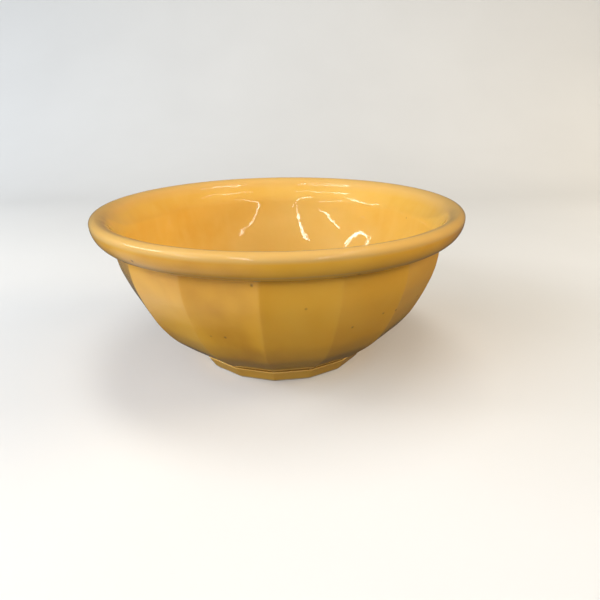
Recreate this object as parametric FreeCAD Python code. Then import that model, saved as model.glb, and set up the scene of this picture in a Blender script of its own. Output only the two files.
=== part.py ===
import FreeCAD, Part
import math
import os

# Glazed ceramic mixing bowl. Millimetres, +Z up. The origin is the centre of the foot's
# standing face, so the bowl stands on z = 0 and its axis is the Z axis.
#
# The fired clay is one piece: a wall with flat upright panels on the outside and a smooth
# round inside, a thick banded rim, and a short panelled foot that narrows downwards. Two
# glaze coats lie on it, one inside and one outside. They meet on the crown of the rim, and
# the outer one stops above the standing face.
#
# Sizes are those of the glazed surface. The clay is set back from it by the glaze
# thickness, which the functions below take as their inset.

Vec = FreeCAD.Vector
ORIGIN = Vec(0, 0, 0)
AXIS = Vec(0, 0, 1)
os.makedirs("parts", exist_ok=True)

# ---- panels and glaze -----------------------------------------------------------------
PANELS = 16               # flat panels around the body and the foot
PANEL_STEP_DEG = 360.0 / PANELS
FIRST_CORNER_DEG = -93.6  # angle of one panel corner about +Z, measured from +X
FLAT_TO_CORNER = math.cos(math.pi / PANELS)  # distance to a flat / distance to a corner
GLAZE = 0.45              # thickness of each glaze coat

# ---- rim ------------------------------------------------------------------------------
HEIGHT = 128.0            # standing face to the crown of the rim
RIM_R = 147.3             # outside radius of the rim band, at its widest circle
CROWN_R = 142.5           # radius of the crown's highest circle
CROWN_OUT_DROP = 4.5      # from the crown down to the band's widest circle
WIDEST_Z = HEIGHT - CROWN_OUT_DROP

# The crown's inner slope is part of an ellipse, which ends where the inside takes over.
CROWN_IN_HALF_W = 10.0
CROWN_IN_HALF_H = 9.0
CROWN_IN_Z = HEIGHT - CROWN_IN_HALF_H  # centre of the ellipse
CROWN_IN_END_DEG = 150.0

# The band's outer face is a quarter ellipse.
BAND_DRAW_IN = 13.2       # how far it draws in
BAND_DROP = 15.5          # how far it goes down
BAND_BOTTOM_Z = WIDEST_Z - BAND_DROP

# ---- wall -----------------------------------------------------------------------------
# Outside of the wall, downwards: (distance from the axis to the flat of a panel, z).
# The first point lies inside the rim band, the last one inside the foot.
WALL_OUT = [
    (130.4, 112.5), (130.3, 106.0), (130.0, 100.0), (129.1, 92.8), (127.3, 84.6),
    (124.6, 76.5), (121.5, 68.3), (117.9, 60.2), (113.8, 52.0), (108.6, 43.9),
    (102.2, 35.7), (93.9, 27.6), (84.7, 19.4), (74.7, 11.5), (67.9, 5.4),
]

# Round inside: (radius, z), from the end of the crown's slope to the middle of the floor.
CROWN_IN_END = math.radians(CROWN_IN_END_DEG)
INSIDE = [
    (CROWN_R + CROWN_IN_HALF_W * math.cos(CROWN_IN_END),
     CROWN_IN_Z + CROWN_IN_HALF_H * math.sin(CROWN_IN_END)),
    (131.9, 120.4), (129.7, 117.0), (127.6, 113.7), (125.7, 110.3), (124.4, 106.8),
    (123.6, 102.5), (122.7, 97.5), (121.2, 91.0), (118.6, 83.0), (114.9, 74.0),
    (109.9, 64.0), (102.3, 52.0), (92.2, 40.6), (78.5, 29.6), (61.0, 21.0),
    (41.0, 16.0), (20.0, 14.1), (0.0, 13.8),
]

# ---- foot -----------------------------------------------------------------------------
FOOT_GLAZE_Z = 1.6        # the outer glaze stops here; below it the clay is bare
# Side of the foot, upwards: (distance from the axis to the flat of a panel, z)
FOOT_SIDE = [(70.6, FOOT_GLAZE_Z), (76.1, 11.2), (75.7, 11.8)]
FOOT_EDGE_IN = 0.5        # how far the bare lower edge is eased inwards

# Hollow under the base: sloping sides and a slightly domed top.
RECESS_R = 56.0           # radius at the standing face
RECESS_DEPTH = 3.8        # at the axis
RECESS_SIDE_IN = 3.0      # how far the side slopes inwards
DOME_EDGE_DROP = 0.6      # the dome's edge below its middle
DOME_MID_RATIO = 0.6      # place of the dome's middle point, as a share of RECESS_R
DOME_MID_DROP = 0.15      # that point below the dome's middle

# ---- construction ---------------------------------------------------------------------
ARC_POINTS = 13           # points on each elliptical arc
WALL_POINTS = 21          # points on the set-back wall outline
INSIDE_POINTS = 41        # points on the set-back inside outline
CROWN_LEAD = 3.0          # length of the lead-in that shapes the inside's upper end
RIM_COAT_OVERLAP = 2.5    # how far the rim coat runs in past the wall's outside
CUT_OVERRUN = 2.0         # how far the recess cutter runs out below the foot
TRIM_R = 200.0            # size of the cylinder that trims the wall's coat at the band
TRIM_HEIGHT = 20.0


# ---- outlines in the r-z plane --------------------------------------------------------
def at(r, z):
    return Vec(r, 0.0, z)


def spline(points):
    curve = Part.BSplineCurve()
    curve.interpolate(Points=[at(r, z) for r, z in points])
    return curve


def curve_edge(points):
    return spline(points).toShape()


def line(start, end):
    return Part.makeLine(at(*start), at(*end))


def led_spline(points, before, after):
    """A spline through the points, shaped at its ends by further points, then trimmed."""
    curve = spline(before + points + after)
    curve.segment(curve.parameter(at(*points[0])), curve.parameter(at(*points[-1])))
    return curve


def offset_points(curve, distance, count):
    """Points of the curve, moved sideways. A positive distance moves each point to the
    left of the curve's direction, seen with r to the right and z up."""
    points = []
    first, last = curve.FirstParameter, curve.LastParameter
    for i in range(count):
        t = first + (last - first) * i / (count - 1)
        place = curve.value(t)
        along = curve.tangent(t)[0]
        points.append((place.x - along.z * distance, place.z + along.x * distance))
    return points


def ellipse_arc(centre_r, centre_z, half_w, half_h, start_deg, end_deg):
    """Points along part of an ellipse."""
    points = []
    for i in range(ARC_POINTS):
        angle = math.radians(start_deg + (end_deg - start_deg) * i / (ARC_POINTS - 1))
        points.append((centre_r + half_w * math.cos(angle),
                       centre_z + half_h * math.sin(angle)))
    return points


def crown_outside(inset):
    """From the crown's top outwards to the band's widest circle."""
    return ellipse_arc(CROWN_R, WIDEST_Z, RIM_R - CROWN_R - inset, CROWN_OUT_DROP - inset,
                       90, 0)


def crown_inside(inset):
    """From the crown's top inwards to the upper end of the inside."""
    return ellipse_arc(CROWN_R, CROWN_IN_Z, CROWN_IN_HALF_W - inset,
                       CROWN_IN_HALF_H - inset, 90, CROWN_IN_END_DEG)


def band_face(inset):
    """From the band's widest circle down to its underside."""
    return ellipse_arc(RIM_R - BAND_DRAW_IN, WIDEST_Z, BAND_DRAW_IN - inset,
                       BAND_DROP - inset, 0, -90)


# ---- solids ---------------------------------------------------------------------------
def as_solid(shape):
    solids = shape.Solids
    if len(solids) != 1:
        raise RuntimeError("expected one solid, got %d" % len(solids))
    solid = solids[0]
    if solid.Volume < 0:
        solid.reverse()
    if not solid.isValid():
        solid.fix(0.001, 0.001, 0.001)
    return solid


def turn(edges):
    """Turn a closed outline in the r-z plane once around the axis."""
    face = Part.Face(Part.Wire(edges))
    return as_solid(face.revolve(ORIGIN, AXIS, 360.0))


def panel_wire(flat_r, z):
    """A closed polygon with the bowl's panel corners, flat_r from the axis to each side."""
    corner_r = flat_r / FLAT_TO_CORNER
    first = math.radians(FIRST_CORNER_DEG)
    points = []
    for k in range(PANELS + 1):
        angle = first + 2.0 * math.pi * (k % PANELS) / PANELS
        points.append(Vec(corner_r * math.cos(angle), corner_r * math.sin(angle), z))
    return Part.makePolygon(points)


def panel_loft(sections):
    """A panelled solid with straight sides between (flat_r, z) sections."""
    return Part.makeLoft([panel_wire(r, z) for r, z in sections], True, True)


# ---- outer form, filled to the axis ---------------------------------------------------
def filled_rim(inset):
    """The rim as a disc, with the whole crown on it."""
    slope, face = crown_inside(inset), band_face(inset)
    under_z = BAND_BOTTOM_Z + inset
    slope_end_z = slope[-1][1]
    return turn([
        line((0, under_z), (0, slope_end_z)),
        line((0, slope_end_z), slope[-1]),
        curve_edge(slope[::-1]),
        curve_edge(crown_outside(inset)),
        curve_edge(face),
        line(face[-1], (0, under_z)),
    ])


def filled_wall(inset):
    """The panelled wall, running up into the band and down into the foot. Each panel is
    flat from side to side and follows the bowl's curve from top to bottom."""
    # The outline runs downwards, so inwards is to its right.
    flats = offset_points(spline(WALL_OUT), -inset, WALL_POINTS)
    corner = spline([(r / FLAT_TO_CORNER, z) for r, z in flats])
    edges = []
    for k in range(PANELS):
        edge = corner.toShape()
        edge.rotate(ORIGIN, AXIS, FIRST_CORNER_DEG + PANEL_STEP_DEG * k)
        edges.append(edge)
    faces = [Part.makeRuledSurface(edges[k], edges[(k + 1) % PANELS]) for k in range(PANELS)]
    for r, z in (flats[0], flats[-1]):
        faces.append(Part.Face(panel_wire(r, z)))
    shell = Part.makeShell(faces)
    shell.sewShape()
    solid = Part.Solid(Part.Shell(shell.Faces))
    if solid.Volume < 0:
        solid.reverse()
    return solid


def foot_clay_side(inset):
    """The foot's side under the glaze: each straight part moved in square to itself, from
    the glaze's lower end up to the clay's top."""
    parts = []   # (r, z, change of r per unit of z)
    for (r0, z0), (r1, z1) in zip(FOOT_SIDE, FOOT_SIDE[1:]):
        rise, run = z1 - z0, r1 - r0
        length = math.hypot(run, rise)
        parts.append((r0 - inset * rise / length, z0 + inset * run / length, run / rise))

    def r_at(part, z):
        r, start_z, slope = part
        return r + (z - start_z) * slope

    side = [(r_at(parts[0], FOOT_GLAZE_Z), FOOT_GLAZE_Z)]
    for lower, upper in zip(parts, parts[1:]):
        # Where the two moved parts cross.
        (r0, z0, slope0), (r1, z1, slope1) = lower, upper
        z = (r1 - r0 + slope0 * z0 - slope1 * z1) / (slope0 - slope1)
        side.append((r_at(lower, z), z))
    top_z = FOOT_SIDE[-1][1] - inset
    side.append((r_at(parts[-1], top_z), top_z))
    return side


def foot_clay():
    """The foot's clay, down to the standing face."""
    side = foot_clay_side(GLAZE)
    return panel_loft([(side[0][0] - FOOT_EDGE_IN, 0.0)] + side)


# ---- inside form ----------------------------------------------------------------------
def inside_outline():
    """The glazed inside. It is led in along the line in which the crown's slope ends, and
    carried past the axis by its own mirror image, so that the floor is level there."""
    back_r = CROWN_IN_HALF_W * math.sin(CROWN_IN_END)
    back_z = -CROWN_IN_HALF_H * math.cos(CROWN_IN_END)
    length = math.hypot(back_r, back_z)
    lead = (INSIDE[0][0] + CROWN_LEAD * back_r / length,
            INSIDE[0][1] + CROWN_LEAD * back_z / length)
    return led_spline(INSIDE, [lead], [(-r, z) for r, z in INSIDE[-2:-4:-1]])


inside_curve = inside_outline()
inside_clay = offset_points(inside_curve, GLAZE, INSIDE_POINTS)   # away from the hollow
inside_clay[0] = crown_inside(GLAZE)[-1]
inside_clay[-1] = (0.0, INSIDE[-1][1] - GLAZE)
inside_clay_curve = spline(inside_clay)


def inside_cut():
    """The space the clay leaves, up to the end of the crown's inner slope."""
    top = (0, inside_clay[0][1])
    return turn([
        line(top, inside_clay[0]),
        inside_clay_curve.toShape(),
        line(inside_clay[-1], top),
    ])


def base_recess():
    """The shallow hollow inside the foot ring."""
    corner = (RECESS_R - RECESS_SIDE_IN, RECESS_DEPTH - DOME_EDGE_DROP)
    middle = (RECESS_R * DOME_MID_RATIO, RECESS_DEPTH - DOME_MID_DROP)
    top = (0.0, RECESS_DEPTH)
    return turn([
        line((0, -CUT_OVERRUN), (RECESS_R, -CUT_OVERRUN)),
        line((RECESS_R, -CUT_OVERRUN), (RECESS_R, 0.0)),
        line((RECESS_R, 0.0), corner),
        curve_edge([corner, middle, top]),
        line(top, (0, -CUT_OVERRUN)),
    ])


def rim_coat():
    """The coat over the outer half of the crown, the band and its underside."""
    crown, crown_clay = crown_outside(0.0), crown_outside(GLAZE)
    face, face_clay = band_face(0.0), band_face(GLAZE)
    inner_r = WALL_OUT[0][0] - RIM_COAT_OVERLAP   # inside the wall's clay
    under = (inner_r, BAND_BOTTOM_Z)
    under_clay = (inner_r, BAND_BOTTOM_Z + GLAZE)
    return turn([
        line(crown_clay[0], crown[0]),
        curve_edge(crown),
        curve_edge(face),
        line(face[-1], under),
        line(under, under_clay),
        line(under_clay, face_clay[-1]),
        curve_edge(face_clay[::-1]),
        curve_edge(crown_clay[::-1]),
    ])


# ---- the three pieces -----------------------------------------------------------------
def make_clay_body(wall, foot):
    form = filled_rim(GLAZE).fuse([wall, foot])
    return as_solid(form.cut([inside_cut(), base_recess()]))


def make_inside_glaze():
    crown, crown_clay = crown_inside(0.0), crown_inside(GLAZE)
    return turn([
        line(crown_clay[0], crown[0]),
        curve_edge(crown),
        inside_curve.toShape(),
        line(INSIDE[-1], inside_clay[-1]),
        inside_clay_curve.toShape(),
        curve_edge(crown_clay),
    ])


def make_outside_glaze(wall, foot):
    """The glazed form less the clay. The wall's part ends at the band's clay underside."""
    trim = Part.makeCylinder(TRIM_R, TRIM_HEIGHT, Vec(0, 0, BAND_BOTTOM_Z + GLAZE))
    form = filled_wall(0.0).cut(trim).fuse([panel_loft(FOOT_SIDE), rim_coat()])
    return as_solid(form.cut([wall, foot]))


wall_clay = filled_wall(GLAZE)
foot_clay_solid = foot_clay()
nodes = {
    "clay_body": make_clay_body(wall_clay, foot_clay_solid),
    "inside_glaze": make_inside_glaze(),
    "outside_glaze": make_outside_glaze(wall_clay, foot_clay_solid),
}
for name, shape in nodes.items():
    shape.exportStep("parts/%s.step" % name)
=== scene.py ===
# Glazed mixing bowl with a panelled outside wall, a smooth band below the rim and a small foot.
# It stands on z = 0 with its axis on z, and the camera looks at it from -Y, so -X is left.
# The bowl's lengths are millimetres until a mesh is made; the stage is in metres.
import bpy
import math
import numpy as np
from mathutils import Matrix, Vector


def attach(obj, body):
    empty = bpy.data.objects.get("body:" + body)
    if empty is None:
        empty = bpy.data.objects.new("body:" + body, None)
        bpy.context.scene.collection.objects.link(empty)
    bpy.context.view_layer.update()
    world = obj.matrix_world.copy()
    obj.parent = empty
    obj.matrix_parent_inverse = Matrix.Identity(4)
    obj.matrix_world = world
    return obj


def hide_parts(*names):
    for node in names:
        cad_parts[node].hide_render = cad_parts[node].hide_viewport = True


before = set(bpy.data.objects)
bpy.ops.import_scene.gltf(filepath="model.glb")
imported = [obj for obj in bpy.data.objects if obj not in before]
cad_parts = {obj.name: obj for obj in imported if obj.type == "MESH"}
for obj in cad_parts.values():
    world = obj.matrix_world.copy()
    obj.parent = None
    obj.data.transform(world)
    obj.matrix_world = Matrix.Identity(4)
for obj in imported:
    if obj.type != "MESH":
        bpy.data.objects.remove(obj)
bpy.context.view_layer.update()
MM = 0.001

# ---- the form ---------------------------------------------------------------------------
PANELS = 16
FIRST_CORNER = math.radians(-93.6)
PANEL_ANGLE = 2 * math.pi / PANELS
COAT = 0.42                       # depth of a glaze coat
CLAY_INSET = 0.45                 # the clay starts a hair below the coat
SHARP_ANGLE = math.radians(40.0)

# The rim: a crown rounded on both sides, above a band that curves in to its lower edge.
RIM_R, HEIGHT, CROWN_R = 147.3, 128.0, 142.5
CROWN_OUT_DROP = 4.5
CROWN_IN_WIDTH, CROWN_IN_DROP = 10.0, 9.0
CROWN_IN_END = math.radians(150.0)
BAND_WIDTH, BAND_DROP = 13.2, 15.5
WIDEST_Z = HEIGHT - CROWN_OUT_DROP
BAND_BOTTOM = WIDEST_Z - BAND_DROP
FILLET = 1.6                      # between the band's underside and the wall
FILLET_Z = BAND_BOTTOM - FILLET

# The foot: a ledge with a bead at its edge, a tapering side and a rounded lower edge.
WALL_LOW_Z = 12.55
LEDGE_IN_R, LEDGE_IN_Z = 74.95, 11.71
LEDGE_OUT_R, LEDGE_OUT_Z = 75.2, 11.715
BEAD_R, BEAD_Z, BEAD_SIZE = 75.45, 11.17, 0.55
FOOT_SIDE = [(75.926, 10.897), (70.756, 1.8715)]
EDGE_R, EDGE_Z, EDGE_SIZE, EDGE_ROWS = 70.32, 2.12, 0.5, 8

# Outside wall at a panel's flat, from the top down: radius, z.
WALL = [(130.4, 112.5), (130.3, 106.0), (130.0, 100.0), (129.1, 92.8), (127.3, 84.6),
        (124.6, 76.5), (121.5, 68.3), (117.9, 60.2), (113.8, 52.0), (108.6, 43.9),
        (102.2, 35.7), (93.9, 27.6), (84.7, 19.4), (74.7, 11.5), (67.9, 5.4)]

# Inside, from the end of the crown's curve to the floor: radius, z. The first point, on the
# crown's tangent, and the last two, beyond the axis, only guide the spline.
CROWN_END = np.array([CROWN_R + CROWN_IN_WIDTH * math.cos(CROWN_IN_END),
                      HEIGHT - CROWN_IN_DROP + CROWN_IN_DROP * math.sin(CROWN_IN_END)])
CROWN_TANGENT = np.array([CROWN_IN_WIDTH * math.sin(CROWN_IN_END),
                          -CROWN_IN_DROP * math.cos(CROWN_IN_END)])
GUIDE_STEP = 3.0
INSIDE = [CROWN_END + GUIDE_STEP * CROWN_TANGENT / math.hypot(*CROWN_TANGENT), CROWN_END,
          (131.9, 120.4), (129.7, 117.0), (127.6, 113.7), (125.7, 110.3), (124.4, 106.8),
          (123.6, 102.5), (122.7, 97.5), (121.2, 91.0), (118.6, 83.0), (114.9, 74.0),
          (109.9, 64.0), (102.3, 52.0), (92.2, 40.6), (78.5, 29.6), (61.0, 21.0),
          (41.0, 16.0), (20.0, 14.1), (0.0, 13.8), (-20.0, 14.1), (-41.0, 16.0)]

# Bare clay from the foot's edge inwards: radius, z, how far the row follows the panels.
BARE_FOOT = [(70.02, 1.55, 1), (69.95, 1.15, 1), (69.8, 0.75, 1), (69.55, 0.40, 1),
             (69.2, 0.16, 1), (68.7, 0.04, 1), (67.9, 0.0, 0.9), (65.5, 0.0, 0.75),
             (63.3, 0.0, 0.5), (61.0, 0.0, 0.3), (59.0, 0.0, 0.1), (57.6, 0.0, 0),
             (56.9, 0.05, 0), (56.3, 0.25, 0), (55.8, 0.6, 0), (55.3, 1.1, 0),
             (54.8, 1.7, 0), (54.2, 2.3, 0), (53.5, 2.8, 0), (52.6, 3.12, 0), (51.0, 3.25, 0)]
# The shallow dome of the base, which starts where BARE_FOOT ends.
DOME_R, DOME_TOP_Z, DOME_RISE, DOME_INNER_R = 51.0, 3.8, 0.55, 3.0


# ---- curves -----------------------------------------------------------------------------
def natural_spline(points, per_span):
    """Dense points of a natural cubic spline through points, by chord length."""
    p = np.asarray(points, float)
    h = np.hypot(*np.diff(p, axis=0).T)
    n = len(p)
    system = np.zeros((n, n))
    bends = np.zeros((n, 2))
    system[0, 0] = system[-1, -1] = 1.0
    for i in range(1, n - 1):
        system[i, i - 1:i + 2] = h[i - 1], 2 * (h[i - 1] + h[i]), h[i]
        bends[i] = 6 * ((p[i + 1] - p[i]) / h[i] - (p[i] - p[i - 1]) / h[i - 1])
    m = np.linalg.solve(system, bends)
    out = []
    for i in range(n - 1):
        s = np.linspace(0, 1, per_span, endpoint=False)[:, None] * h[i]
        u = h[i] - s
        out.append(m[i] * u ** 3 / (6 * h[i]) + m[i + 1] * s ** 3 / (6 * h[i])
                   + (p[i] / h[i] - m[i] * h[i] / 6) * u
                   + (p[i + 1] / h[i] - m[i + 1] * h[i] / 6) * s)
    out.append(p[-1:])
    return np.vstack(out)


def arc(centre_r, centre_z, width, height, start_deg, end_deg, count):
    """Points of an ellipse in the r-z plane; 0 degrees is outwards and 90 is up."""
    t = np.radians(np.linspace(start_deg, end_deg, count))
    return np.stack([centre_r + width * np.cos(t), centre_z + height * np.sin(t)], 1)


def resample(curve, count):
    """Points at even steps along a curve in the r-z plane."""
    c = np.asarray(curve, float)
    length = np.concatenate([[0.0], np.cumsum(np.hypot(*np.diff(c, axis=0).T))])
    at = np.linspace(0, length[-1], count)
    return np.stack([np.interp(at, length, c[:, 0]), np.interp(at, length, c[:, 1])], 1)


def rise(value, start, end):
    """0 at start, 1 at end, straight between and flat beyond."""
    return np.clip((value - start) / (end - start), 0, 1)


# ---- columns around the axis ------------------------------------------------------------
PANEL_COLUMNS = 30
CORNER_CROWDING = 0.11            # columns gather towards a panel's two corners
_even = np.arange(PANEL_COLUMNS) / PANEL_COLUMNS
_crowded = _even - CORNER_CROWDING * np.sin(2 * math.pi * _even)
ANGLES = np.concatenate([FIRST_CORNER + PANEL_ANGLE * (k + _crowded) for k in range(PANELS)])
COLUMNS = len(ANGLES)
THIS = np.arange(COLUMNS)
NEXT = (THIS + 1) % COLUMNS


def panel_factor(sharpness):
    """Distance to the panelled outline, over the distance to a panel's flat, at each column."""
    middles = FIRST_CORNER + PANEL_ANGLE / 2 + PANEL_ANGLE * np.arange(PANELS)
    c = np.cos(ANGLES[:, None] - middles[None])
    return 1.0 / (np.log(np.exp(sharpness * (c - 1.0)).sum(1)) / sharpness + 1.0)


WALL_PANELS = panel_factor(sharpness=750.0)
FOOT_PANELS = panel_factor(sharpness=300.0)


def grid_xyz(r, z):
    return np.stack([r * np.cos(ANGLES)[None], r * np.sin(ANGLES)[None], z], -1)


def grid_normals(xyz, inside=False):
    """Unit normals of a grid of rows by columns that closes around the axis, with the rows
    running downwards. They point away from the clay, outside or inside the bowl."""
    down = np.gradient(xyz, axis=0)
    around = np.roll(xyz, -1, 1) - np.roll(xyz, 1, 1)
    n = np.cross(around, down) if inside else np.cross(down, around)
    return n / np.maximum(np.linalg.norm(n, axis=-1, keepdims=True), 1e-12)


# ---- smooth seeded noise ----------------------------------------------------------------
def value_noise(points, seed):
    """Smooth noise in -1..1 at points, one lattice cell per unit."""
    table = np.random.RandomState(seed).uniform(-1, 1, 4096)
    cell = np.floor(points).astype(np.int64)
    f = points - cell
    f = f * f * f * (f * (f * 6 - 15) + 10)

    def corner(dx, dy, dz):
        key = ((cell[..., 0] + dx) * 73856093 ^ (cell[..., 1] + dy) * 19349663
               ^ (cell[..., 2] + dz) * 83492791)
        return table[key & 4095]

    def blend(a, b, axis):
        return a * (1 - f[..., axis]) + b * f[..., axis]

    def edge(dy, dz):
        return blend(corner(0, dy, dz), corner(1, dy, dz), 0)

    def side(dz):
        return blend(edge(0, dz), edge(1, dz), 1)

    return blend(side(0), side(1), 2)


def relief(xyz, seed, slow, quick):
    """The small unevenness of a dipped and fired surface. slow and quick are the heights of
    its broad and fine parts."""
    broad = value_noise(xyz / 55.0, seed)
    medium = value_noise(xyz / 21.0, seed + 1)
    fine = value_noise(xyz / 8.0, seed + 2)
    return slow * (0.65 * broad + 0.35 * medium) + quick * fine


# ---- mesh helpers -----------------------------------------------------------------------
def signed_volume(verts, faces):
    total = 0.0
    for size in (3, 4):
        f = np.array([face for face in faces if len(face) == size])
        if len(f):
            for i in range(1, size - 1):
                cross = np.cross(verts[f[:, i]], verts[f[:, i + 1]])
                total += np.einsum("ij,ij->i", verts[f[:, 0]], cross).sum()
    return total / 6.0


def make_object(name, verts, faces, attrs):
    """A smooth-shaded object facing outwards, with a float point attribute per attrs entry."""
    if signed_volume(verts, faces) < 0:
        faces = [f[::-1] for f in faces]
    mesh = bpy.data.meshes.new(name)
    corners = [i for f in faces for i in f]
    mesh.vertices.add(len(verts))
    mesh.vertices.foreach_set("co", (np.asarray(verts, np.float32) * MM).ravel())
    mesh.loops.add(len(corners))
    mesh.loops.foreach_set("vertex_index", np.asarray(corners, np.int32))
    sizes = [len(f) for f in faces]
    starts = np.concatenate([[0], np.cumsum(sizes)[:-1]]).astype(np.int32)
    mesh.polygons.add(len(faces))
    mesh.polygons.foreach_set("loop_start", starts)
    mesh.update(calc_edges=True)
    mesh.validate()
    mesh.polygons.foreach_set("use_smooth", np.ones(len(mesh.polygons), bool))
    mesh.set_sharp_from_angle(angle=SHARP_ANGLE)
    for key, values in attrs.items():
        layer = mesh.attributes.new(key, "FLOAT", "POINT")
        layer.data.foreach_set("value", np.asarray(values, np.float32))
    return link_object(name, mesh)


def link_object(name, data):
    obj = bpy.data.objects.new(name, data)
    bpy.context.scene.collection.objects.link(obj)
    return obj


def row_quads(starts):
    """Quads between neighbouring rows; starts holds the index of each row's first vertex."""
    return np.vstack([np.stack([a + THIS, b + THIS, b + NEXT, a + NEXT], 1)
                      for a, b in zip(starts[:-1], starts[1:])]).tolist()


def closed_ring(name, front, back, attrs):
    """A solid that runs around the axis: its front rows, then its back rows, joined at both
    ends. Both are arrays of rows by columns by 3; attrs pairs front and back values."""
    verts = np.vstack([front.reshape(-1, 3), back.reshape(-1, 3)])
    faces = row_quads([i * COLUMNS for i in range(len(front) + len(back))] + [0])
    flat = {key: np.concatenate([on_front.ravel(), on_back.ravel()])
            for key, (on_front, on_back) in attrs.items()}
    return make_object(name, verts, faces, flat)


def closed_cup(name, front, back, front_pole_z, back_pole_z, attrs):
    """A solid like a cup: front runs from the lip to a pole on the axis, back runs from
    another pole to the lip, where both meet."""
    verts = np.vstack([front.reshape(-1, 3), [(0, 0, front_pole_z)], [(0, 0, back_pole_z)],
                       back.reshape(-1, 3)])
    front_pole = len(front) * COLUMNS
    back_pole = front_pole + 1
    front_last = front_pole - COLUMNS
    back_first = back_pole + 1
    back_last = back_first + (len(back) - 1) * COLUMNS
    faces = row_quads([i * COLUMNS for i in range(len(front))])
    faces += np.stack([front_last + THIS, np.full(COLUMNS, front_pole),
                       front_last + NEXT], 1).tolist()
    faces += np.stack([np.full(COLUMNS, back_pole), back_first + THIS,
                       back_first + NEXT], 1).tolist()
    faces += row_quads([back_first + i * COLUMNS for i in range(len(back))])
    faces += np.stack([back_last + THIS, THIS, NEXT, back_last + NEXT], 1).tolist()
    flat = {key: np.concatenate([on_front.ravel(), [on_front[-1].mean()],
                                 [on_back[0].mean()], on_back.ravel()])
            for key, (on_front, on_back) in attrs.items()}
    return make_object(name, verts, faces, flat)


def every_other(count):
    """Every second index below count, always with both ends."""
    return np.unique(np.append(np.arange(0, count, 2), count - 1))


def back_rows(grid):
    """Every other row of a grid, from the last to the first."""
    return grid[every_other(len(grid))[::-1]]


# ---- outside surface --------------------------------------------------------------------
# Each row is r, z, a thin-glaze mask and a pool mask. The first is positive on edges the glaze
# runs off, and paints a glint line along the band's lower edge. The second is positive where
# the glaze gathers, and paints shade under the band and around the foot's ledge.
_wall_up = natural_spline(WALL, per_span=24)[::-1]


def wall_r(z):
    return np.interp(z, _wall_up[:, 1], _wall_up[:, 0])


def rim_rows():
    """The crown's outer side, then the band."""
    for r, z in arc(CROWN_R, WIDEST_Z, RIM_R - CROWN_R, CROWN_OUT_DROP, 90, 0, 26):
        yield r, z, 1.0, 0.0
    for r, z in arc(RIM_R - BAND_WIDTH, WIDEST_Z, BAND_WIDTH, BAND_DROP, 0, -90, 46)[1:]:
        # thin below the widest circle, and near the band's lower edge a painted glint line in
        # the thin colour
        thin_glaze_and_glint = max(0.0, 1.0 - (WIDEST_Z - z) / 1.8,
                   0.75 * math.exp(-((z - 112.4) / 0.65) ** 2))
        # painted shade, darker towards the band's lower edge and crease-dark in its lowest 2 mm
        above = z - BAND_BOTTOM
        yield r, z, thin_glaze_and_glint, 0.4 * max(0.0, 1.0 - above / 4.0) + 1.5 * np.clip(2.0 - above, 0, 1)


def underside_rows():
    """The band's underside, then the fillet against the wall, darkened with painted shade that
    is darkest in the fillet.
    """
    start = RIM_R - BAND_WIDTH
    end = wall_r(FILLET_Z) * WALL_PANELS + FILLET
    for t in np.linspace(0, 1, 8)[1:]:
        yield start + (end - start) * t, BAND_BOTTOM, 0.0, 1.9 - 0.9 * t
    for a in np.radians(np.linspace(90, 0, 9)[1:]):
        yield (end - FILLET * math.cos(a), FILLET_Z + FILLET * math.sin(a), 0.0,
               1.0 + 0.9 * math.sin(2 * a) ** 2)


def wall_rows():
    """The panelled wall, with the glaze slightly thin along the corners, painted shade just
    under the band, and painted shade with thicker glaze just above the foot.
    """
    corner = (WALL_PANELS - 1.0) / (WALL_PANELS.max() - 1.0)
    thin_glaze_and_glint = 0.07 * rise(corner, 0.72, 1.0) ** 1.5
    for z in FILLET_Z - (FILLET_Z - WALL_LOW_Z) * np.linspace(0, 1, 150)[1:]:
        above = z - WALL_LOW_Z
        # painted shade under the band; painted shade and thicker glaze above the foot
        near_top = math.exp(-(FILLET_Z - z) / 3.0)
        near_low = math.exp(-above / 3.5) + 0.7 * math.exp(-above / 0.8)
        yield wall_r(z) * WALL_PANELS, z, thin_glaze_and_glint, max(near_top, near_low)


def foot_rows():
    """The curve into the ledge, the ledge, its bead, the foot's side and its lower edge."""
    wall_end = wall_r(WALL_LOW_Z) * WALL_PANELS
    ledge_in = LEDGE_IN_R * FOOT_PANELS
    # the curve into the ledge and the ledge are darkened with painted shade
    for t in np.linspace(0, 1, 7)[1:]:
        inwards = 0.6 * t + 0.4 * (1 - math.cos(t * math.pi / 2))
        down = math.sin(t * math.pi / 2)
        yield (wall_end + (ledge_in - wall_end) * inwards,
               WALL_LOW_Z + (LEDGE_IN_Z - WALL_LOW_Z) * down, 0.0, 1.9)
    yield LEDGE_OUT_R * FOOT_PANELS, LEDGE_OUT_Z, 0.0, 0.8
    for r, z in arc(BEAD_R, BEAD_Z, BEAD_SIZE, BEAD_SIZE, 90, -29.8, 12):
        yield r * FOOT_PANELS, z, 0.9, 0.0
    for r, z in resample(FOOT_SIDE, 20)[1:]:
        yield r * FOOT_PANELS, z, 0.30, max(0.0, 0.3 - (z - 2.3) * 0.5)
    for r, z in arc(EDGE_R, EDGE_Z, EDGE_SIZE, EDGE_SIZE, -35, -120, EDGE_ROWS):
        yield r * FOOT_PANELS, z, 0.0, 0.3


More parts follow.
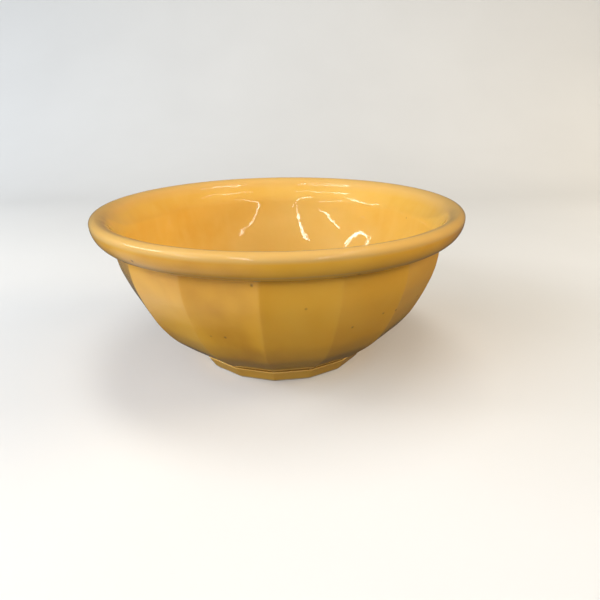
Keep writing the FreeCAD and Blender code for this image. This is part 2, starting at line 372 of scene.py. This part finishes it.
def outside_surface():
    """Points, normals, thin-glaze mask and pool mask of the glazed outside, from the crown
    down. The masks also paint a glint line and shade.
    """
    rows = [[np.broadcast_to(value, (COLUMNS,)) for value in row]
            for part in (rim_rows, underside_rows, wall_rows, foot_rows) for row in part()]
    r, z, thin_glaze_and_glint, pool_and_shade = np.array(rows, float).transpose(1, 0, 2)
    xyz = grid_xyz(r, z)
    inset = 0.19 * rise(z, 100.0, 109.0) + 0.05 * rise(z, 15.0, 12.0)
    # the relief fades out at the crown, and nearly so at the foot's edge
    fade = np.clip((z - 2.6) / 4.0, 0.15, 1.0) * rise(np.arange(len(z))[:, None], 0, 8)
    height = (relief(xyz, seed=11, slow=0.16, quick=0.020) - inset) * fade
    xyz = xyz + grid_normals(xyz) * height[..., None]
    return xyz, grid_normals(xyz), thin_glaze_and_glint, pool_and_shade


# ---- inside surface ---------------------------------------------------------------------
INSIDE_SPAN = 40


def inside_surface():
    """Points, normals, thin-glaze mask and pool mask of the glazed inside, from the crown to
    the floor, and the floor's height at the axis. The pool mask paints shade along the inner
    bend."""
    curve = natural_spline(INSIDE, INSIDE_SPAN)[INSIDE_SPAN:-2 * INSIDE_SPAN]
    curve[-1, 0] = 0.0
    crown = arc(CROWN_R, HEIGHT - CROWN_IN_DROP, CROWN_IN_WIDTH, CROWN_IN_DROP,
                90, math.degrees(CROWN_IN_END), 20)
    profile = np.vstack([crown, resample(curve, 210)[1:-1]])
    r = np.repeat(profile[:, :1], COLUMNS, 1)
    z = np.repeat(profile[:, 1:], COLUMNS, 1)
    xyz = grid_xyz(r, z)
    bumps = (relief(xyz, seed=31, slow=0.20, quick=0.085)
             + 0.034 * value_noise(xyz / 4.0, seed=35))
    inset = 0.28 * rise(z, 116.0, 122.0)
    # the relief fades out at the crown and at the axis
    fade = rise(np.arange(len(z))[:, None], 0, 8) * rise(r, 0.0, 20.0)
    height = (bumps - inset) * fade
    xyz = xyz + grid_normals(xyz, inside=True) * height[..., None]
    thin_glaze_and_glint = rise(z, 118.5, 125.0) ** 0.8
    # a faint line of painted shade along the inner bend, and darker towards the floor
    pool_and_shade = 0.14 * np.exp(-((z - 109.5) / 3.5) ** 2) + 0.8 * rise(z, 30.0, 14.0)
    return xyz, grid_normals(xyz, inside=True), thin_glaze_and_glint, pool_and_shade, float(curve[-1, 1])


# ---- clay -------------------------------------------------------------------------------
def bare_surface():
    """The bare foot edge, the standing ring and the hollow of the base."""
    dome = [(r, DOME_TOP_Z - DOME_RISE * (r / DOME_R) ** 2, 0)
            for r in np.linspace(DOME_R, DOME_INNER_R, 34)[1:]]
    radius, height, follow = np.array(BARE_FOOT + dome, float).T[:, :, None]
    r = radius * (1 + (FOOT_PANELS - 1) * follow)
    z = np.repeat(height, COLUMNS, 1)
    xyz = grid_xyz(r, z)
    # turning rings in the hollow, and a fine roughness everywhere but the standing ring
    rings = (0.035 * np.sin(r * 2.3 + 1.3 * value_noise(xyz / 30.0, seed=71))
             * rise(r, 54.0, 48.0))
    rough = (0.05 * value_noise(xyz / 3.0, seed=72) + 0.03 * value_noise(xyz / 1.4, seed=73))
    fade = rise(z, 0.35, 1.15) * rise(r, 0.0, 10.0)
    return xyz + grid_normals(xyz) * ((rings + rough) * fade)[..., None]


def build_clay():
    """The clay under the outside coat, the bare base, and back up under the inside coat."""
    under_coat = out_xyz - out_n * CLAY_INSET
    under_coat = under_coat[every_other(len(under_coat) - EDGE_ROWS)]
    bare = bare_surface()
    back = back_rows(in_xyz - in_n * CLAY_INSET)
    is_bare = np.concatenate([np.zeros(under_coat.shape[:2]), np.ones(bare.shape[:2])])
    return closed_cup("fired_clay", np.vstack([under_coat, bare]), back,
                      DOME_TOP_Z, floor_z - CLAY_INSET,
                      {"bare": (is_bare, np.zeros(back.shape[:2]))})


out_xyz, out_n, out_thin_glaze_and_glint, out_pool_and_shade = outside_surface()
in_xyz, in_n, in_thin, in_pool_and_shade, floor_z = inside_surface()
coat_out = closed_ring("glaze_coat_outside", out_xyz, back_rows(out_xyz - out_n * COAT),
                       {"thin_glaze_and_glint": (out_thin_glaze_and_glint, back_rows(out_thin_glaze_and_glint)),
                        "pool_and_shade": (out_pool_and_shade, back_rows(out_pool_and_shade))})
coat_in = closed_cup("glaze_coat_inside", in_xyz, back_rows(in_xyz - in_n * COAT),
                     floor_z, floor_z - COAT,
                     {"thin_glaze_and_glint": (in_thin, back_rows(in_thin)),
                      "pool_and_shade": (in_pool_and_shade, back_rows(in_pool_and_shade))})
clay = build_clay()

for obj, node, slot in ((coat_out, "outside_glaze", "glaze_outside"),
                        (coat_in, "inside_glaze", "glaze_inside"),
                        (clay, "clay_body", "clay")):
    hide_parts(node)
    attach(obj, "root")


# ---- materials --------------------------------------------------------------------------
class Nodes:
    """Short calls for building a node material."""

    def __init__(self, name):
        self.mat = bpy.data.materials.new(name)
        self.mat.use_nodes = True
        self.tree = self.mat.node_tree
        self.tree.nodes.clear()

    def add(self, kind, inputs=None, **props):
        node = self.tree.nodes.new(kind)
        for key, value in props.items():
            setattr(node, key, value)
        for key, value in (inputs or {}).items():
            self.put(node.inputs[key], value)
        return node

    def put(self, socket, value):
        if isinstance(value, bpy.types.NodeSocket):
            self.tree.links.new(value, socket)
        else:
            socket.default_value = value

    def math(self, operation, a, b, clamp=False):
        node = self.add("ShaderNodeMath", {0: a, 1: b}, operation=operation, use_clamp=clamp)
        return node.outputs[0]

    def times(self, a, b, clamp=False):
        return self.math("MULTIPLY", a, b, clamp)

    def mix(self, factor, a, b):
        node = self.add("ShaderNodeMix", data_type="RGBA")
        self.put(node.inputs["Factor"], factor)
        self.put(node.inputs[6], a)
        self.put(node.inputs[7], b)
        return node.outputs[2]

    def ramp(self, factor, *stops):
        """A colour ramp; each stop is a position and a colour."""
        node = self.add("ShaderNodeValToRGB", {"Fac": factor})
        elements = node.color_ramp.elements
        while len(elements) < len(stops):
            elements.new(0.5)
        for element, (position, colour) in zip(elements, stops):
            element.position = position
            element.color = colour
        return node.outputs["Color"]

    def grey_ramp(self, factor, *stops):
        """A ramp of greys; each stop is a position and a level."""
        return self.ramp(factor, *[(at, (level, level, level, 1.0)) for at, level in stops])

    def map_range(self, value, start, end, to_start=0.0, to_end=1.0):
        node = self.add("ShaderNodeMapRange", {"Value": value, "From Min": start,
                                               "From Max": end, "To Min": to_start,
                                               "To Max": to_end})
        return node.outputs[0]

    def noise(self, vector, scale, detail=3.0, roughness=0.5, distortion=0.0):
        node = self.add("ShaderNodeTexNoise", {"Vector": vector, "Scale": scale,
                                               "Detail": detail, "Roughness": roughness,
                                               "Distortion": distortion})
        return node.outputs["Fac"]

    def cells(self, vector, scale):
        """Distance to the nearest cell's centre, and that cell's random value."""
        cell = self.add("ShaderNodeTexVoronoi", {"Vector": vector, "Scale": scale})
        parts = self.add("ShaderNodeSeparateColor", {0: cell.outputs["Color"]})
        return cell.outputs["Distance"], parts.outputs[0]

    def bump(self, height, strength, distance, **normal):
        node = self.add("ShaderNodeBump", {"Strength": strength, "Distance": distance,
                                           "Height": height, **normal})
        return node.outputs[0]

    def object_coords(self):
        return self.add("ShaderNodeTexCoord").outputs["Object"]

    def attr(self, name):
        return self.add("ShaderNodeAttribute", attribute_name=name).outputs["Fac"]

    def finish(self, kind, inputs):
        """Adds the shader, links it to the output and returns the material."""
        shader = self.add(kind, inputs)
        self.add("ShaderNodeOutputMaterial", {0: shader.outputs[0]})
        return self.mat


# darkest brown of the painted shade in creases
CREASE_SHADE_BROWN = (0.10, 0.036, 0.004, 1.0)
PIT_BROWN = (0.13, 0.052, 0.012, 1.0)
STREAK_SCALE = (90.0, 90.0, 7.0)  # tall, narrow streaks


def glaze_material(name, deep, mid, pale, crown, pit_cutoff, pit_size, streaks=False):
    """deep, mid and pale are the coat's colours by thickness; deep also colours painted shade.
    crown is the colour where it is thin, and of a painted glint line. Cells whose random value
    is above pit_cutoff hold a pit."""
    m = Nodes(name)
    co = m.object_coords()
    thin_glaze_and_glint, pool_and_shade = m.attr("thin_glaze_and_glint"), m.attr("pool_and_shade")

    # broad cloudiness of the coat, and a finer mottling in it
    cloud = m.noise(co, scale=9.0, detail=3.0, roughness=0.55, distortion=0.4)
    mottle = m.noise(co, scale=70.0, detail=4.0, roughness=0.6)
    base = m.ramp(cloud, (0.30, deep), (0.52, mid), (0.75, pale))
    base = m.mix(m.times(m.grey_ramp(mottle, (0.38, 0), (0.68, 1)), 0.16), base, pale)
    if streaks:
        # glaze that ran down the wall before it set
        xyz = m.add("ShaderNodeSeparateXYZ", {0: co})
        scaled = [m.times(xyz.outputs[i], scale) for i, scale in enumerate(STREAK_SCALE)]
        squeezed = m.add("ShaderNodeCombineXYZ", dict(enumerate(scaled))).outputs[0]
        run = m.noise(squeezed, scale=1.0, detail=2.0)
        base = m.mix(m.times(m.grey_ramp(run, (0.48, 0), (0.72, 1)), 0.22), base, pale)
    # towards deep where the glaze gathers and where shade is painted
    base = m.mix(m.times(m.math("MINIMUM", pool_and_shade, 1.0), 0.55, clamp=True), base, deep)
    # painted shade: the creases under the band and above the foot turn darkest brown
    crease_shade = m.times(m.math("SUBTRACT", pool_and_shade, 1.0, clamp=True), 0.9, clamp=True)
    base = m.mix(crease_shade, base, CREASE_SHADE_BROWN)
    # the edge of the thin glaze wavers; this mix also paints the glint line under the band
    wobble = m.times(m.noise(co, scale=26.0, detail=2.0), 0.5)
    base = m.mix(m.times(thin_glaze_and_glint, m.math("ADD", wobble, 0.62), clamp=True), base, crown)

    # tiny dark pits, seen where a bubble burst and the clay shows
    distance, cell_value = m.cells(co, scale=95.0)
    chosen = m.math("GREATER_THAN", cell_value, pit_cutoff)
    pit = m.map_range(distance, start=0.03, end=m.times(cell_value, pit_size),
                      to_start=1.0, to_end=0.0)
    pit = m.times(pit, chosen, clamp=True)
    base = m.mix(m.times(pit, 0.7), base, PIT_BROWN)

    # surface: very faint orange peel and the pits
    peel = m.bump(m.noise(co, scale=210.0, detail=2.0), strength=0.05, distance=0.0006)
    normal = m.bump(m.math("SUBTRACT", 1.0, pit), strength=0.6, distance=0.0004, Normal=peel)
    worn = m.noise(co, scale=34.0, detail=5.0, roughness=0.65)
    return m.finish("ShaderNodeBsdfPrincipled", {
        "Base Color": base, "Roughness": 0.42, "IOR": 1.5, "Specular IOR Level": 0.25,
        "Normal": normal, "Coat Weight": 1.0,
        "Coat Roughness": m.grey_ramp(worn, (0.40, 0.035), (0.70, 0.085)),
        "Coat IOR": 1.52, "Coat Normal": normal, "Subsurface Weight": 0.08,
        "Subsurface Radius": (0.004, 0.002, 0.0008), "Subsurface Scale": 0.35})


CLAY_TONES = ((0.30, (0.50, 0.37, 0.21, 1.0)), (0.55, (0.60, 0.46, 0.28, 1.0)),
              (0.78, (0.68, 0.55, 0.36, 1.0)))
GRAIN_BROWN = (0.40, 0.28, 0.15, 1.0)
FLECK_BROWN = (0.10, 0.06, 0.035, 1.0)
WORN_CLAY = (0.36, 0.27, 0.17, 1.0)


def clay_material():
    m = Nodes("bare_clay")
    co = m.object_coords()
    cloud = m.noise(co, scale=22.0, detail=4.0, roughness=0.6, distortion=0.3)
    grain = m.noise(co, scale=900.0, detail=3.0, roughness=0.7)
    base = m.ramp(cloud, *CLAY_TONES)
    base = m.mix(m.times(m.grey_ramp(grain, (0.45, 0), (0.75, 1)), 0.35), base, GRAIN_BROWN)
    # a few cells hold a dark fleck
    distance, cell_value = m.cells(co, scale=260.0)
    fleck = m.times(m.math("GREATER_THAN", cell_value, 0.965),
                    m.math("LESS_THAN", distance, 0.28), clamp=True)
    base = m.mix(m.times(fleck, 0.75), base, FLECK_BROWN)
    # the standing ring is rubbed a little darker by tables
    z = m.add("ShaderNodeSeparateXYZ", {0: co}).outputs[2]
    low = m.map_range(z, start=0.0, end=0.0007, to_start=1.0, to_end=0.0)
    patches = m.noise(co, scale=60.0, detail=4.0, roughness=0.7)
    wear = m.times(low, m.grey_ramp(patches, (0.35, 0.15), (0.7, 0.8)), clamp=True)
    base = m.mix(wear, base, WORN_CLAY)
    grit = m.bump(grain, strength=0.5, distance=0.0003)
    normal = m.bump(m.noise(co, scale=160.0, detail=4.0, roughness=0.65),
                    strength=0.35, distance=0.0006, Normal=grit)
    return m.finish("ShaderNodeBsdfPrincipled", {
        "Base Color": base, "Roughness": m.grey_ramp(cloud, (0.3, 0.78), (0.8, 0.92)),
        "Specular IOR Level": 0.3, "Normal": normal})


CROWN_COLOUR = (0.69, 0.41, 0.12, 1.0)
mat_out = glaze_material("glaze_ochre", deep=(0.47, 0.190, 0.009, 1.0),
                         mid=(0.74, 0.360, 0.027, 1.0), pale=(0.82, 0.440, 0.052, 1.0),
                         crown=CROWN_COLOUR, pit_cutoff=0.86, pit_size=0.15)
mat_in = glaze_material("glaze_yellow", deep=(0.67, 0.362, 0.050, 1.0),
                        mid=(0.72, 0.412, 0.076, 1.0), pale=(0.75, 0.465, 0.118, 1.0),
                        crown=CROWN_COLOUR, pit_cutoff=0.985, pit_size=0.10, streaks=True)
mat_clay = clay_material()
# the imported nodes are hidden, but they get the same finishes
for obj, node, mat in ((coat_out, "outside_glaze", mat_out),
                       (coat_in, "inside_glaze", mat_in),
                       (clay, "clay_body", mat_clay)):
    obj.data.materials.append(mat)
    for packed_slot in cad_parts[node].material_slots:
        packed_slot.material = mat


# ---- floor ------------------------------------------------------------------------------
FLOOR_TONES = ((0.3, (0.725, 0.720, 0.710, 1.0)), (0.7, (0.755, 0.750, 0.740, 1.0)))
DIMMED_FLOOR = (0.05, 0.048, 0.045, 1.0)


def floor_material():
    m = Nodes("stage_floor")
    co = m.object_coords()
    base = m.ramp(m.noise(co, scale=3.0), *FLOOR_TONES)
    # to the bowl the floor is dimmed, as if a dark card lay around it
    rays = m.add("ShaderNodeLightPath").outputs
    seen = m.math("ADD", rays["Is Glossy Ray"], rays["Is Diffuse Ray"], clamp=True)
    base = m.mix(m.times(seen, 0.92), base, DIMMED_FLOOR)
    # at the front left a patch of the floor, part of a ring around the bowl, glows for glossy
    # rays
    # only: a painted reflection that gives the left panels their sheen
    xyz = m.add("ShaderNodeSeparateXYZ", {0: co}).outputs
    away = m.add("ShaderNodeVectorMath", {0: co}, operation="LENGTH").outputs["Value"]
    glossy_glow_patch = m.times(m.map_range(xyz[0], start=0.01, end=-0.09),
                   m.times(m.map_range(away, start=0.14, end=0.19),
                           m.map_range(away, start=0.48, end=0.33)))
    glossy_glow_patch = m.times(glossy_glow_patch, m.map_range(xyz[1], start=0.05, end=-0.06))
    sheen = m.times(m.times(glossy_glow_patch, 0.52), rays["Is Glossy Ray"])
    return m.finish("ShaderNodeBsdfPrincipled", {
        "Base Color": base, "Roughness": 0.85, "Specular IOR Level": 0.2,
        "Emission Color": (1.0, 1.0, 1.0, 1.0), "Emission Strength": sheen})


def strip_faces(pairs):
    """Quads between neighbouring pairs of vertices."""
    return [(2 * i, 2 * i + 1, 2 * i + 3, 2 * i + 2) for i in range(pairs - 1)]


def sweep_floor():
    """A pale floor that curves up behind the bowl."""
    half_width, front_y, back_y, radius, top = 3.2, -3.0, 1.6, 0.9, 2.6
    steps = 24
    profile = [(front_y, 0.0), (0.0, 0.0), (back_y - radius, 0.0)]
    for i in range(1, steps + 1):
        a = math.pi / 2 * i / steps
        profile.append((back_y - radius + radius * math.sin(a), radius - radius * math.cos(a)))
    profile.append((back_y, top))
    verts = [(x, y, z) for y, z in profile for x in (-half_width, half_width)]
    mesh = bpy.data.meshes.new("floor")
    mesh.from_pydata(verts, [], strip_faces(len(profile)))
    mesh.polygons.foreach_set("use_smooth", [True] * len(mesh.polygons))
    mesh.materials.append(floor_material())
    link_object("floor", mesh)


sweep_floor()

# ---- soft lights ------------------------------------------------------------------------
LIGHT_AIM = Vector((0, 0, 0.06))
# Area lights that the glaze doesn't mirror: name, place, width and height, watts, colour.
SOFT_LIGHTS = (
    ("key_left", (-1.6, -0.9, 1.15), (0.9 + 0.1, 0.8), 15.5, (0.72, 0.84, 1.0)),
    ("far_left", (-1.9, 0.25, 0.7), (0.9, 0.8), 16.5, (0.75, 0.86, 1.0)),
    ("left_low", (-1.5, -1.2, 0.35), (0.9, 0.8), 15.5, (0.83, 0.92, 1.0)),
    ("front", (0.1, -2.0, 1.1), (0.9, 0.8), 11.5, (1.0, 0.91, 0.80)),
    ("right_side", (1.8, 0.1, 0.8), (0.9, 0.8), 24.0, (1.0, 0.85, 0.62)),
    ("fill_right", (1.7, -1.3, 1.0), (0.9, 0.9), 3.0, (1.0, 0.97, 0.90)),
    ("top", (0.1, 0.10, 2.1), (1.3, 0.5), 12.8, (1.0, 0.96, 0.87)),
)
for name, place, (width, height), watts, colour in SOFT_LIGHTS:
    light = bpy.data.lights.new(name, "AREA")
    light.shape = "RECTANGLE"
    light.size, light.size_y = width, height
    light.energy = watts
    light.color = colour
    lamp = link_object(name, light)
    lamp.location = place
    lamp.rotation_euler = (LIGHT_AIM - Vector(place)).to_track_quat("-Z", "Y").to_euler()
    lamp.visible_glossy = False

# ---- lamp strips ------------------------------------------------------------------------
STRIP_AIM = Vector((0, 0, 0.10))
STRIP_COLOUR = (1.0, 0.98, 0.94, 1.0)
# Narrow lamps around the bowl, seen as bright lines in the glaze: name, strength, and
# stations of x, y, z, width.
STRIPS = (
    ("strip_back_1", 14, ((0.92, -0.02, 1.11, 0.012), (0.69, -0.32, 1.21, 0.030),
                          (0.40, -0.56, 1.27, 0.010))),
    ("strip_back_2", 14, ((-0.18, -0.64, 1.28, 0.008), (-0.53, -0.48, 1.25, 0.020),
                          (-0.86, -0.18, 1.15, 0.040))),
    ("strip_1", 16, ((0.44, -1.20, 0.25, 0.03), (0.50, -1.12, 0.45, 0.03),
                     (0.58, -1.02, 0.63, 0.03), (0.80, -0.74, 0.83, 0.008))),
    ("strip_2", 20, ((-0.26, -1.23, 0.30, 0.012), (-0.32, -1.13, 0.56, 0.022),
                     (-0.37, -1.03, 0.78, 0.034), (-0.48, -0.84, 0.97, 0.045))),
    ("strip_3", 18, ((-0.70, -1.05, 0.33, 0.010), (-0.86, -0.88, 0.47, 0.028),
                     (-0.96, -0.72, 0.58, 0.028), (-1.04, -0.55, 0.67, 0.02))),
    ("arch", 20, ((-1.03, -0.36, 0.84, 0.030), (-1.10, -0.32, 0.74, 0.050),
                  (-1.15, -0.25, 0.66, 0.065), (-1.19, -0.14, 0.61, 0.065),
                  (-1.22, -0.02, 0.59, 0.055), (-1.22, 0.08, 0.60, 0.035),
                  (-1.20, 0.16, 0.64, 0.020))),
    ("streak_left", 12, ((-1.28, -0.30, 0.77, 0.05), (-1.14, -0.30, 0.98, 0.07),
                         (-0.96, -0.39, 1.16, 0.03))),
)


def lamp_strip(name, strength, stations):
    """A narrow glowing ribbon through the stations, facing the bowl."""
    points = [Vector(station[:3]) for station in stations]
    verts = []
    for i, point in enumerate(points):
        along = (points[min(i + 1, len(points) - 1)] - points[max(i - 1, 0)]).normalized()
        across = along.cross((STRIP_AIM - point).normalized()).normalized()
        side = across * (stations[i][3] / 2)
        verts += [tuple(point - side), tuple(point + side)]
    mesh = bpy.data.meshes.new(name)
    mesh.from_pydata(verts, [], strip_faces(len(points)))
    mesh.materials.append(Nodes(name).finish(
        "ShaderNodeEmission", {"Color": STRIP_COLOUR, "Strength": strength}))
    strip = link_object(name, mesh)
    strip.visible_camera = False


for name, strength, stations in STRIPS:
    lamp_strip(name, strength, stations)

# ---- world ------------------------------------------------------------------------------
scene = bpy.context.scene
world = bpy.data.worlds.new("studio")
scene.world = world
world.use_nodes = True
sky = world.node_tree.nodes["Background"]
sky.inputs[0].default_value = (0.90, 0.91, 0.93, 1)
path = world.node_tree.nodes.new("ShaderNodeLightPath")
level = world.node_tree.nodes.new("ShaderNodeMapRange")
level.inputs["To Min"].default_value = 0.20          # as light on the scene
level.inputs["To Max"].default_value = 0.07          # as seen in the glaze
world.node_tree.links.new(path.outputs["Is Glossy Ray"], level.inputs["Value"])
world.node_tree.links.new(level.outputs[0], sky.inputs[1])

# ---- camera -----------------------------------------------------------------------------
CAM_PLACE = Vector((0.0164465, -0.39290752, 0.20302982))
PITCH, ROLL = math.radians(22.509), math.radians(-0.572)     # pitch is downwards
level_right, level_up = Vector((1, 0, 0)), Vector((0, math.sin(PITCH), math.cos(PITCH)))
right = math.cos(ROLL) * level_right + math.sin(ROLL) * level_up
up = math.cos(ROLL) * level_up - math.sin(ROLL) * level_right
turn = Matrix((right, up, right.cross(up))).transposed()
cam_data = bpy.data.cameras.new("camera")
cam_data.sensor_fit = "HORIZONTAL"
cam_data.sensor_width = 36.0
cam_data.lens = 28.4166
cam_data.clip_start = 0.01
cam = link_object("camera", cam_data)
cam.matrix_world = Matrix.Translation(CAM_PLACE) @ turn.to_4x4()
scene.camera = cam

scene.view_settings.view_transform = "Standard"
scene.view_settings.look = "None"
